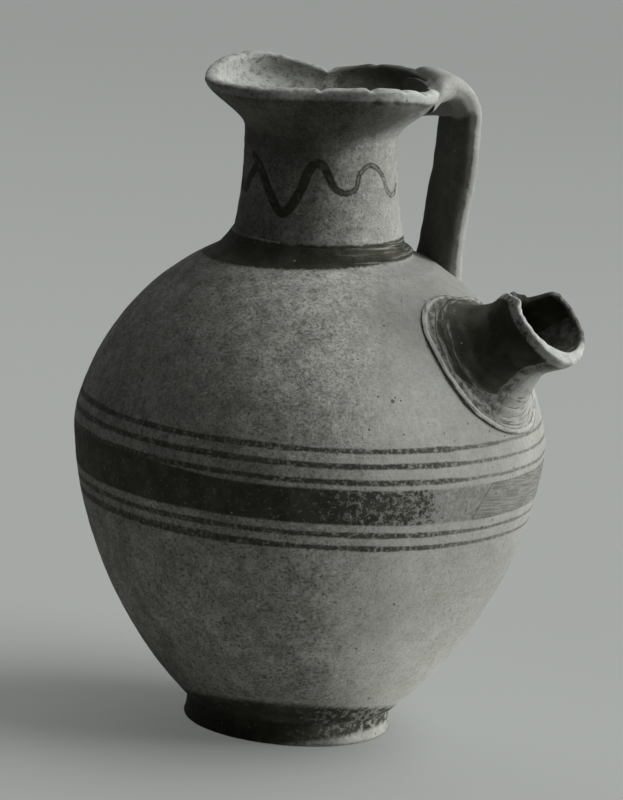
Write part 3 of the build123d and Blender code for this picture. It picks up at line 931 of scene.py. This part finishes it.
class Graph:
    """Short ways to add and join the shader nodes of a new material."""

    def __init__(self, name):
        self.material = bpy.data.materials.new(name)
        self.material.use_nodes = True
        self.tree = self.material.node_tree
        self.shader = self.tree.nodes["Principled BSDF"]
        self.place = Value(self, self.add("ShaderNodeTexCoord").outputs["Object"])
        parts = self.add("ShaderNodeSeparateXYZ", Vector=self.place)
        self.x, self.y, self.z = (Value(self, axis) * (1 / MM) for axis in parts.outputs)

    def add(self, kind, **settings):
        """New node, with values joined to the inputs that they name."""
        node = self.tree.nodes.new(kind)
        for name, value in settings.items():
            self.join(value, node.inputs[name])
        return node

    def join(self, value, socket):
        """Links a value to a socket, or sets a plain number or colour there."""
        if isinstance(value, Value):
            self.tree.links.new(value.socket, socket)
        else:
            socket.default_value = value

    def math(self, operation, first, second=0.0):
        node = self.add("ShaderNodeMath")
        node.operation = operation
        self.join(first, node.inputs[0])
        self.join(second, node.inputs[1])
        return Value(self, node.outputs[0])

    def length(self, across, along):
        """Length of the slant side over two distances at right angles."""
        return self.math("SQRT", across * across + along * along)

    def scaled_place(self, sizes, seed):
        """Place of the point, measured in sizes along the axes and shifted by a seed."""
        scale = [1 / (size * MM) for size in sizes]
        shift = self.add("ShaderNodeMapping", Vector=self.place, Location=(seed, seed, seed), Scale=scale)
        return Value(self, shift.outputs[0])

    def noise_at(self, place, detail, roughness):
        node = self.add("ShaderNodeTexNoise", Vector=place, Scale=1.0, Detail=detail, Roughness=roughness)
        return Value(self, node.outputs["Fac"])

    def noise(self, size, detail, roughness, seed, stretch=(1, 1, 1)):
        """Noise between 0 and 1 with features of a size in millimetres, stretched along the axes."""
        return self.noise_at(self.scaled_place([size * part for part in stretch], seed), detail, roughness)

    def fray(self, reach, size, detail, roughness, seed):
        """Noise round 0 that spans a reach."""
        return self.noise(size, detail, roughness, seed) * reach - reach / 2

    def streaks(self, across, along, size, length, seed):
        """Noise between 0 and 1 that is drawn out along one measure, with a size across it."""
        place = self.add("ShaderNodeCombineXYZ")
        for value, socket in zip((across * (1 / size), along * (1 / length), seed), place.inputs):
            self.join(value, socket)
        return self.noise_at(Value(self, place.outputs[0]), 3.0, 0.5)

    def spots(self, spacing, size, share, seed):
        """Ragged spots of a size on cells of a spacing, in a share of the cells."""
        cells = self.add("ShaderNodeTexVoronoi", Vector=self.scaled_place([spacing] * 3, seed), Scale=1.0)
        pick = self.add("ShaderNodeSeparateColor", Color=Value(self, cells.outputs["Color"]))
        chosen = self.math("LESS_THAN", Value(self, pick.outputs[0]), share)
        whole = size / spacing
        apart = Value(self, cells.outputs["Distance"]) + self.fray(0.6 * whole, 0.5 * size, 2, 0.5, seed)
        inside = Value(self, pick.outputs[1]) * whole - apart
        return inside.ease(-0.04 * whole, 0.35 * whole) * chosen

    def kept(self, name):
        """Value that a piece keeps on its points, 0 where it keeps none."""
        node = self.add("ShaderNodeAttribute")
        node.attribute_name = name
        return Value(self, node.outputs["Fac"])

    def along(self, origin, direction):
        """Distance from an origin in millimetres, measured along a direction."""
        value = -Vector(origin).dot(direction)
        for axis, part in zip((self.x, self.y, self.z), direction):
            value = axis * part + value
        return value

    def scale(self, colour, value):
        """Colour made darker or paler by a factor."""
        node = self.add("ShaderNodeVectorMath")
        node.operation = "SCALE"
        self.join(colour, node.inputs[0])
        self.join(value, node.inputs["Scale"])
        return Value(self, node.outputs[0])

    def mix(self, share, first, second):
        """Colour between two others, by a share."""
        node = self.add("ShaderNodeMix")
        node.data_type = "RGBA"
        self.join(share, node.inputs["Factor"])
        for value, socket in zip((first, second), (node.inputs[6], node.inputs[7])):
            self.join((*value, 1.0) if isinstance(value, tuple) else value, socket)
        return Value(self, node.outputs[2])


# Colours of the fired clay and of the paint
CLAY = (0.333, 0.340, 0.316)
CLAY_DARK = (0.235, 0.236, 0.203)
CLAY_LIGHT = (0.466, 0.481, 0.455)
GRIT = (0.075, 0.075, 0.056)
PIT = (0.045, 0.043, 0.036)
PAINT = (0.019, 0.019, 0.011)
PAINT_THIN = (0.058, 0.058, 0.044)

# A pair of places along x, or of heights, radii or turns, is where a change starts and where it is complete
# Painted shade: where along x the shaded side gains grit and mottling, and heights where grit grows denser
# towards the bottom
SHADE_SIDE_ALONG = (32, -2)
GRIT_HEIGHTS = (110, 70)

# Heights of the painted lines, the half width that a light and a pressed brush gives them, and what fades off
LINES = (112.4, 107.5, 102.2, 83.9, 79.3)
LINE_HALF = 0.5
LINE_PRESS = 0.9
LINE_FADE = 0.45
LINE_HEAVY = 0.45
LINE_FADE_ALONG = (36, 66)
LINE_HEAVY_ALONG = (5, -40)

# Edges of the wide band, their lean along x, and the hatched zone at its worn end
BAND_LOW = 87.5
BAND_HIGH = 99.7
BAND_LEFT_RISE = 2.2
BAND_LEAN = 0.0107
BAND_RISE_ALONG = (-25, -60)
BAND_WEAR_ALONG = (-5, 36)
BAND_LOSS_ALONG = (38, 48)
BAND_GREY_ALONG = (43.5, 46)
SCRATCHED_ALONG = (4, 20)
HATCH_START = 55.0
HATCH_SLANT = 0.5

# Edges of the band round the neck's foot and their rise along x
NECK_BAND_LOW = 164.0
NECK_BAND_LOW_RISE = 0.075
NECK_BAND_HIGH = 171.2
NECK_BAND_HIGH_RISE = 0.045
NECK_BAND_WEAR_ALONG = (-14, 30)

# Upper edge of the foot's paint: its height at the sides, its rise towards the front and its least height
FOOT_PAINT_EDGE = 9.1
FOOT_PAINT_RISE = 6.5 / 36
FOOT_PAINT_LEAST = 10.0
FOOT_BARE_HEIGHT = 4.6
FOOT_BARE_ALONG = (-14, 34)
FOOT_BARE_FRONT = (0, -14)
FOOT_WEAR_ALONG = (-5, 30)

# Half width of the wavy line on the left and what it loses to the right
WAVE_HALF = 1.75
WAVE_THINNING = 0.85
WAVE_THIN_ALONG = (-8, 12)
WAVE_WEAR_ALONG = (2, 14)

# Slip on the spout: radius that it reaches on the near side, its change per degree and the turn where it ends
SLIP_RADIUS = 24.4
SLIP_SPREAD = 0.108
SLIP_MOST_SPREAD = 1.4
SLIP_END_TURN = -45.0
STROKE_RADII = (25, 17)
BRUSHED_RADII = (16, 21)
HAIR_RADII = (15, 18)
SCORED_TURNS = (10, 2)

# How far inside the skirt's mean edge the smeared slip ends, and how much wider it is on the upper side
SMEAR_MARGIN = 1.8
SMEAR_SPREAD = 1.9
SMEAR_TURNS = (-5, 30)
SMEAR_END_TURNS = (-72, -50)

# Bare band along the spout's lip: its width above, and what it gains below
LIP_BAND = 0.2
LIP_BAND_LOWER = 2.6
LIP_BAND_TURNS = (-5, -55)
RUBBED_LIP_TURNS = (-15, 35)

# Painted shade and light: clay tones, and the place and slant of the shade's border on the body
SHADED_SIDE_TONE = 0.8
LIT_SIDE_TONE = 1.36
BRIGHTEST_SIDE_TONE = 0.98
NECK_LIT_TONE = 1.05
SHADE_BORDER_SLANT = 0.30
SHADE_BORDER = 24.0
LIT_SHOULDER_LOSS = 0.32
SHADE_BORDER_SOFTNESS = (-17, 11)
BRIGHTEST_SIDE_FROM_BORDER = (24, 64)
LIT_SHOULDER_HEIGHTS = (138, 158)
LIT_SHOULDER_ALONG = (-5, 28)
NECK_SHADE_ALONG = (-9, 3)

# Painted shadow under the mouth's flare: the heights over which it grows dark, and the place and slant of its
# border
FLARE_SHADOW_LOW = 189.0
FLARE_SHADOW_FULL = 203.0
FLARE_SHADOW_SLANT = 1.7
FLARE_SHADOW_BORDER = 5.0
FLARE_SHADOW_SOFTNESS = 5.0

# Heights of the bump in millimetres
GRAIN_RELIEF = 0.16
SHADE_SIDE_RELIEF = 0.26
COARSE_RELIEF = 0.16
WHEEL_RELIEF = 0.05
PIT_RELIEF = 0.25


def body_paint(graph):
    """Painted lines and the wide band round the belly, which wear away towards the spout's side."""
    x, y, z = graph.x, graph.y, graph.z
    height = z - x * BAND_LEAN + graph.fray(1.0, 30, 2, 0.5, 3) + graph.fray(0.9, 0.9, 3, 0.6, 9)
    fading = x.ease(*LINE_FADE_ALONG)
    half = graph.noise(14, 2, 0.5, 21) * LINE_PRESS + LINE_HALF - fading * LINE_FADE
    heavy = half + x.ease(*LINE_HEAVY_ALONG) * LINE_HEAVY
    lines = 0.0
    for line in LINES:
        reach = heavy if line == LINES[-1] else half
        lines = (reach - abs(height - line)).ease(-0.35, 0.35).at_least(lines)
    worn_line = graph.noise(1.5, 5, 0.75, 31).ease(0.36, 0.52)
    lines = lines * (worn_line * 0.65 + 0.28) * (1 - fading * 0.3)
    depth = (x.ease(*BAND_RISE_ALONG) * BAND_LEFT_RISE + BAND_HIGH - height).at_most(height - BAND_LOW)
    flakes = graph.noise(1.7, 6, 0.78, 41)
    level = x.ease(*BAND_WEAR_ALONG) * 0.09 + x.ease(*BAND_LOSS_ALONG) * 0.14 + 0.38
    band = (flakes - level).ease(-0.06, 0.07) * 0.62 + 0.36
    curl = abs(graph.noise(7, 3, 0.6, 44) - 0.5).ease(0.020, 0.006)
    scratch = curl * graph.noise(5, 3, 0.6, 46).ease(0.48, 0.58) * x.ease(*SCRATCHED_ALONG)
    band = band * (1 - scratch * 0.5)
    grey = flakes.ease(0.38, 0.58) * 0.3 + 0.2
    band = band.towards(grey, x.ease(*BAND_GREY_ALONG))
    hatch = graph.streaks(y * 0.1 + z, y, 0.5, 9.0, 2.0).ease(0.42, 0.60)
    from_border = x - HATCH_START - (z - BAND_LOW) * HATCH_SLANT
    edge = depth.ease(0.9, 0.2).at_least(from_border.ease(0.9, 0.3))
    brushed = (hatch * 0.3 + 0.3).at_least(edge * flakes.ease(0.3, 0.5) * 0.8)
    band = band.towards(brushed, from_border.ease(-0.3, 0.3))
    return lines.at_least(depth.ease(-0.5, 0.5) * band)


def neck_band_paint(graph):
    """Streaky band round the foot of the neck."""
    height = graph.z + graph.fray(1.4, 1.6, 3, 0.6, 5)
    under_top = graph.x * NECK_BAND_HIGH_RISE + NECK_BAND_HIGH - height
    over_low = height - graph.x * NECK_BAND_LOW_RISE - NECK_BAND_LOW
    streaks = graph.noise(1.0, 3, 0.6, 13, stretch=(16, 16, 0.55))
    level = graph.x.ease(*NECK_BAND_WEAR_ALONG) * 0.14 + 0.24
    kept = (streaks - level).ease(-0.05, 0.10)
    return under_top.at_most(over_low).ease(-0.35, 0.45) * (kept * 0.75 + 0.25)


def foot_paint(graph):
    """Dark foot whose paint runs up onto the bowl, worn to bare clay along the ground at the front right."""
    x, y = graph.x, graph.y
    height = graph.z + graph.fray(2.4, 2.0, 4, 0.7, 15)
    edge = (FOOT_PAINT_EDGE - y * FOOT_PAINT_RISE).at_least(FOOT_PAINT_LEAST)
    painted = (edge - height).ease(-1.3, 1.1)
    worn_edge_and_painted_light = x.ease(*FOOT_BARE_ALONG) * FOOT_BARE_HEIGHT
    bare = (worn_edge_and_painted_light - height).ease(-1, 1) * y.ease(*FOOT_BARE_FRONT)
    level = x.ease(*FOOT_WEAR_ALONG) * 0.14 + 0.34
    kept = (graph.noise(2.4, 5, 0.7, 51) - level).ease(-0.05, 0.09)
    return painted * (kept * 0.6 + 0.4) * (1 - bare * 0.9)


def wave_paint(graph):
    """Wavy line round the neck, from the distance to its stroke that is kept on the neck's points."""
    x = graph.x
    apart = WAVE_REACH - graph.kept("wave_nearness") * WAVE_REACH + graph.fray(0.8, 1.2, 3, 0.6, 17)
    inside = (WAVE_HALF - x.ease(*WAVE_THIN_ALONG) * WAVE_THINNING - apart).ease(-0.25, 0.3)
    flakes = graph.noise(1.6, 4, 0.7, 19).ease(0.42, 0.56)
    worn = apart.ease(0.75, 0.25) * x.ease(*WAVE_WEAR_ALONG) * (flakes * 0.5 + 0.3)
    blotched = graph.noise(3, 4, 0.7, 18).ease(0.34, 0.50) * 0.35 + 0.65
    return inside * blotched * (1 - worn)


def spout_paint(graph):
    """Dark slip over the spout's near side and bore, in strokes on the skirt, with a low front corner."""
    across = graph.along(spout_foot, spout_side)
    upward = graph.along(spout_foot, spout_up)
    radius = graph.length(across, upward)
    turn = graph.math("ARCTAN2", upward, across * -1.0) * degrees(1)
    ragged_turn = turn + graph.noise(2, 3, 0.6, 61) * 6.0
    ragged_radius = radius + graph.fray(2.4, 1.6, 4, 0.7, 62)
    limit = (turn * SLIP_SPREAD + SLIP_RADIUS).at_most(SLIP_RADIUS + SLIP_MOST_SPREAD)
    level = 0.5 - radius.ease(*STROKE_RADII) * 0.26
    brushed = (graph.streaks(radius, turn, 0.8, 24.0, 5.0) - level).ease(-0.06, 0.08)
    bare = radius.ease(*BRUSHED_RADII) * (0.6 - brushed * 0.55)
    slip = (limit - ragged_radius).ease(-0.4, 0.6) * (1 - bare)
    hairs = graph.streaks(radius, turn, 0.55, 30.0, 7.0).ease(0.54, 0.62) * radius.ease(*HAIR_RADII)
    slip = (slip * ragged_turn.ease(SLIP_END_TURN, SLIP_END_TURN + 5)).at_least(hairs * 0.7)
    scored = abs(radius - limit).ease(0.45, 0.15) * turn.ease(*SCORED_TURNS)
    slip = slip * (1 - scored * 0.85)
    mottles = graph.noise(2.4, 5, 0.78, 66).ease(0.40, 0.62)
    smear_radius = turn.ease(*SMEAR_TURNS) * SMEAR_SPREAD + (SPOUT_SKIRT_RADIUS - SMEAR_MARGIN)
    smear = (smear_radius - ragged_radius).ease(-0.8, 0.8) * ragged_turn.ease(*SMEAR_END_TURNS)
    slip = slip.at_least(smear * (mottles * 0.6 + 0.3))
    ragged_rim = graph.along(mouth_centre, mouth_normal) + graph.noise(1.5, 3, 0.6, 63) * 1.6
    bare_lip = LIP_BAND + turn.ease(*LIP_BAND_TURNS) * LIP_BAND_LOWER
    slip = slip * (ragged_rim + bare_lip).ease(0.5, -0.5)
    slip = slip.at_least(mottles * 0.34 * turn.ease(*RUBBED_LIP_TURNS))
    outline = graph.kept("edge_line") * graph.noise(3, 3, 0.6, 64).ease(0.36, 0.50)
    slip = slip.at_least(outline * 0.8)
    stained = graph.noise(3, 5, 0.75, 65).ease(0.36, 0.62) * 0.42 + 0.52
    return slip.at_least(graph.kept("inner_face") * stained)


def painted_handle_shade(graph):
    """Painted shade on the face of the strap that is turned to the neck, with a ragged border."""
    ragged = graph.kept("inner_face") + graph.noise(5, 5, 0.75, 81) * 0.9
    return ragged.ease(0.84, 1.20) * 0.76


def painted_flare_shadow(graph):
    """Painted shadow under the flare of the mouth, up to a ragged slanting border towards the handle."""
    ragged = graph.fray(20, 4, 5, 0.75, 91)
    from_border = graph.x + ragged - (graph.z - FLARE_SHADOW_FULL) * FLARE_SHADOW_SLANT - FLARE_SHADOW_BORDER
    high = (graph.z + ragged * 0.3).ease(FLARE_SHADOW_LOW, FLARE_SHADOW_FULL)
    return from_border.ease(FLARE_SHADOW_SOFTNESS, -FLARE_SHADOW_SOFTNESS) * high * graph.kept("outer_face") * 0.62


def painted_mouth_shade(graph):
    """Painted shade inside the mouth on the handle's side, where the rim keeps the light off."""
    ragged = graph.kept("inner_face") + graph.noise(3, 5, 0.75, 95) * 0.7
    return ragged.ease(0.70, 1.05) * 0.8


def painted_body_shading(graph):
    """Painted shade and light on the body: dark on the shaded left, palest right of a ragged slanting border,
    then greyer.
    """
    from_border = graph.z * SHADE_BORDER_SLANT + graph.x - SHADE_BORDER
    pale = (from_border + graph.fray(26, 5, 6, 0.8, 101)).ease(*SHADE_BORDER_SOFTNESS)
    grey = from_border.ease(*BRIGHTEST_SIDE_FROM_BORDER)
    high = graph.z.ease(*LIT_SHOULDER_HEIGHTS) * graph.x.ease(*LIT_SHOULDER_ALONG)
    tone = pale * (LIT_SIDE_TONE - SHADED_SIDE_TONE) + grey * (BRIGHTEST_SIDE_TONE - LIT_SIDE_TONE) + SHADED_SIDE_TONE
    return tone * (1 - high * LIT_SHOULDER_LOSS)


def painted_neck_shading(graph):
    """Painted shade on the neck's clay: darker on its shaded left of a ragged border."""
    pale = (graph.x + graph.fray(16, 4, 6, 0.8, 103)).ease(*NECK_SHADE_ALONG)
    return pale * (NECK_LIT_TONE - SHADED_SIDE_TONE) + SHADED_SIDE_TONE


def clay_material(name, paints, tone=None):
    """Gritty unglazed clay: mottled colour, pits, light specks and wheel lines, painted shade, and paint on
    top.
    """
    graph = Graph(name)
    # Painted shade: towards the shaded left the clay gets more grit, darker blotches, more pale flecks,
    # stronger mottling and a deeper bump; grit is also denser towards the bottom
    shade_side = graph.x.ease(*SHADE_SIDE_ALONG)
    grain = graph.noise(1.0, 5, 0.78, 2)
    cloud = graph.noise(26, 3, 0.55, 1).ease(0.30, 0.72)
    colour = graph.mix(cloud * 0.45, CLAY, CLAY_DARK)
    blotch = graph.noise(4, 5, 0.7, 12).ease(0.44, 0.62)
    colour = graph.mix(blotch * (shade_side * 0.5 + 0.3), colour, CLAY_DARK)
    grit_share = shade_side * 0.63 + graph.z.ease(*GRIT_HEIGHTS) * 0.2 + 0.17
    colour = graph.mix(grain.ease(0.50, 0.64) * grit_share, colour, GRIT)
    colour = graph.mix(grain.ease(0.46, 0.32) * (shade_side * 0.5 + 0.25), colour, CLAY_LIGHT)
    mottle = graph.fray(2.2, 2.0, 7, 0.88, 105) + graph.fray(1.8, 9.0, 5, 0.72, 107)
    colour = graph.scale(colour, mottle * (shade_side * 0.75 + 0.2) + 1.0)
    # Painted light and shade from the tone given for the piece
    if tone:
        colour = graph.scale(colour, tone(graph))
    painted = 0.0
    for paint in paints:
        painted = paint(graph).at_least(painted)
    slip = graph.mix(graph.noise(7, 4, 0.6, 6).ease(0.35, 0.75), PAINT, PAINT_THIN)
    colour = graph.mix(painted, colour, slip)
    # Paler on worn edges and rims, and on the mouth's lit inner wall as painted light
    rubbed_and_lit = graph.noise(2.4, 4, 0.7, 71).ease(0.32, 0.56)
    colour = graph.mix(graph.kept("worn_edge_and_painted_light") * rubbed_and_lit * 0.75, colour, CLAY_LIGHT)
    pits = graph.spots(5.2, 0.8, 0.16, 4)
    small_pits = graph.spots(1.9, 0.5, 0.20, 14)
    specks = graph.spots(3.4, 0.5, 0.12, 24)
    colour = graph.mix(pits * 0.7, colour, PIT)
    colour = graph.mix(small_pits * 0.6, colour, PIT)
    colour = graph.mix(specks * 0.6, colour, CLAY_LIGHT)
    graph.join(colour, graph.shader.inputs["Base Color"])
    relief = grain * (shade_side * SHADE_SIDE_RELIEF + GRAIN_RELIEF)
    relief = relief + graph.noise(2.6, 3, 0.6, 8) * COARSE_RELIEF
    relief = relief + graph.noise(1.0, 2, 0.5, 7, stretch=(40, 40, 0.9)) * WHEEL_RELIEF
    relief = relief - pits.at_least(small_pits) * PIT_RELIEF
    bump = graph.add("ShaderNodeBump", Strength=1.0, Distance=MM, Height=relief)
    graph.join(Value(graph, bump.outputs[0]), graph.shader.inputs["Normal"])
    graph.shader.inputs["Roughness"].default_value = 0.88
    graph.shader.inputs["Specular IOR Level"].default_value = 0.25
    return graph.material


body_clay = clay_material("painted_body_clay", (body_paint, neck_band_paint, foot_paint), painted_body_shading)
neck_paints = (neck_band_paint, wave_paint, painted_flare_shadow, painted_mouth_shade)
neck_clay = clay_material("painted_neck_clay", neck_paints, painted_neck_shading)
handle_clay = clay_material("handle_clay", (painted_handle_shade,))
spout_clay = clay_material("slip_coated_clay", (spout_paint,))

# Each piece: how it is built, the node that it replaces, its slot and its material
PIECES = (
    (build_foot_ring, "foot_ring", "painted_clay", body_clay),
    (build_lower_body, "lower_body", "clay", body_clay),
    (build_upper_body, "upper_body", "clay", body_clay),
    (build_neck, "neck", "clay", neck_clay),
    (build_neck_coil, "neck_coil", "painted_clay", body_clay),
    (build_handle, "handle", "clay", handle_clay),
    (build_handle_wad, "handle_wad", "clay", handle_clay),
    (build_spout, "spout", "clay", spout_clay),
    (build_spout_skirt, "spout_skirt", "clay", spout_clay),
)
for build, node, slot, material in PIECES:
    finish_piece(build(), node, material)

# Floor, in metres, and its light. It throws light back only near the jug, as paper on a dark table does.
FLOOR_SIZE = 16.0
FLOOR_NEAR = (0.252, 0.263, 0.253)
FLOOR_FAR = (0.172, 0.181, 0.175)
FLOOR_GLOW = (0.120, 0.125, 0.121)
FLOOR_BOUNCE = (0.56, 0.56, 0.54)
FLOOR_DARK = (0.02, 0.02, 0.02)
FLOOR_FAR_FROM = 300.0
FLOOR_FAR_TO = 2000.0
BOUNCE_FULL = 170.0
BOUNCE_END = 460.0
BACKDROP = (0.30, 0.317, 0.305)
WORLD_LIGHT = (0.004, 0.004, 0.004)


def seen_directly(tree):
    """1 for rays from the camera, and for those that metal or glass throws on, and 0 for other rays."""
    path = tree.nodes.new("ShaderNodeLightPath")
    total = path.outputs["Is Camera Ray"]
    for kind in ("Is Glossy Ray", "Is Transmission Ray"):
        node = tree.nodes.new("ShaderNodeMath")
        node.operation = "MAXIMUM"
        tree.links.new(total, node.inputs[0])
        tree.links.new(path.outputs[kind], node.inputs[1])
        total = node.outputs[0]
    return total


def build_floor():
    """Plain pale floor that takes the jug's shadow."""
    half = FLOOR_SIZE / 2
    corners = [(-half, -half, 0), (half, -half, 0), (half, half, 0), (-half, half, 0)]
    mesh = bpy.data.meshes.new("studio_floor")
    mesh.from_pydata(corners, [], [(0, 1, 2, 3)])
    floor = add_object("studio_floor", mesh)
    graph = Graph("pale_floor")
    near = graph.length(graph.x, graph.y).ease(BOUNCE_END, BOUNCE_FULL)
    pale = graph.mix(graph.y.ease(FLOOR_FAR_FROM, FLOOR_FAR_TO), FLOOR_NEAR, FLOOR_FAR)
    thrown_back = graph.mix(near, FLOOR_DARK, FLOOR_BOUNCE)
    seen = Value(graph, seen_directly(graph.tree))
    graph.join(graph.mix(seen, thrown_back, pale), graph.shader.inputs["Base Color"])
    graph.shader.inputs["Emission Color"].default_value = (*FLOOR_GLOW, 1.0)
    graph.join(seen, graph.shader.inputs["Emission Strength"])
    graph.shader.inputs["Roughness"].default_value = 0.9
    graph.shader.inputs["Specular IOR Level"].default_value = 0.1
    mesh.materials.append(graph.material)


def build_world():
    """Pale surroundings beyond the floor, which hardly light the jug."""
    world = bpy.data.worlds.new("studio_world")
    scene.world = world
    world.use_nodes = True
    tree = world.node_tree
    colour = tree.nodes.new("ShaderNodeMix")
    colour.data_type = "RGBA"
    tree.links.new(seen_directly(tree), colour.inputs["Factor"])
    colour.inputs[6].default_value = (*WORLD_LIGHT, 1.0)
    colour.inputs[7].default_value = (*BACKDROP, 1.0)
    tree.links.new(colour.outputs[2], tree.nodes["Background"].inputs["Color"])


def sun(name, azimuth, elevation, strength, spread):
    """Far soft light. Azimuth is from the photograph's side, positive to its right. Spread is its width."""
    data = bpy.data.lights.new(name, "SUN")
    data.energy = strength
    data.angle = radians(spread)
    flat = cos(radians(elevation))
    towards = Vector((sin(radians(azimuth)) * flat, -cos(radians(azimuth)) * flat, sin(radians(elevation))))
    add_object(name, data).rotation_euler = towards.to_track_quat("Z", "Y").to_euler()


build_floor()
build_world()
sun("low_key_light", 95, 5, 2.9, 26)
sun("high_key_light", 95, 48, 2.75, 56)
sun("top_light", 0, 86, 0.3, 40)
sun("back_light", 170, 40, 0.6, 60)

# Camera: distance, elevation and lean of the photograph's view, and its focal length in pixels
PHOTO_LONG_SIDE = 800
VIEW_DISTANCE = 1800.0
VIEW_ELEVATION = 11.5
VIEW_LEAN = 4.67
VIEW_FOCAL_PIXELS = 5285.0
VIEW_SHIFT_PIXELS = 1.3
VIEW_HEIGHT = 112.75
SENSOR = 36.0


def build_camera():
    """Camera at the photograph's viewing angle."""
    data = bpy.data.cameras.new("photo_camera")
    data.sensor_width = SENSOR
    data.lens = VIEW_FOCAL_PIXELS * SENSOR / PHOTO_LONG_SIDE
    data.shift_x = -VIEW_SHIFT_PIXELS / PHOTO_LONG_SIDE
    data.clip_end = 50
    rise, lean = radians(VIEW_ELEVATION), radians(VIEW_LEAN)
    backward = Vector((0, -cos(rise), sin(rise)))
    level = Vector((1, 0, 0))
    upright = backward.cross(level)
    across = level * cos(lean) + upright * sin(lean)
    up = upright * cos(lean) - level * sin(lean)
    turn = Matrix((across, up, backward)).transposed().to_4x4()
    place = Vector((0, 0, VIEW_HEIGHT)) + backward * VIEW_DISTANCE
    camera = add_object("photo_camera", data)
    camera.matrix_world = Matrix.Translation(place * MM) @ turn
    scene.camera = camera


build_camera()
scene.view_settings.view_transform = "Standard"
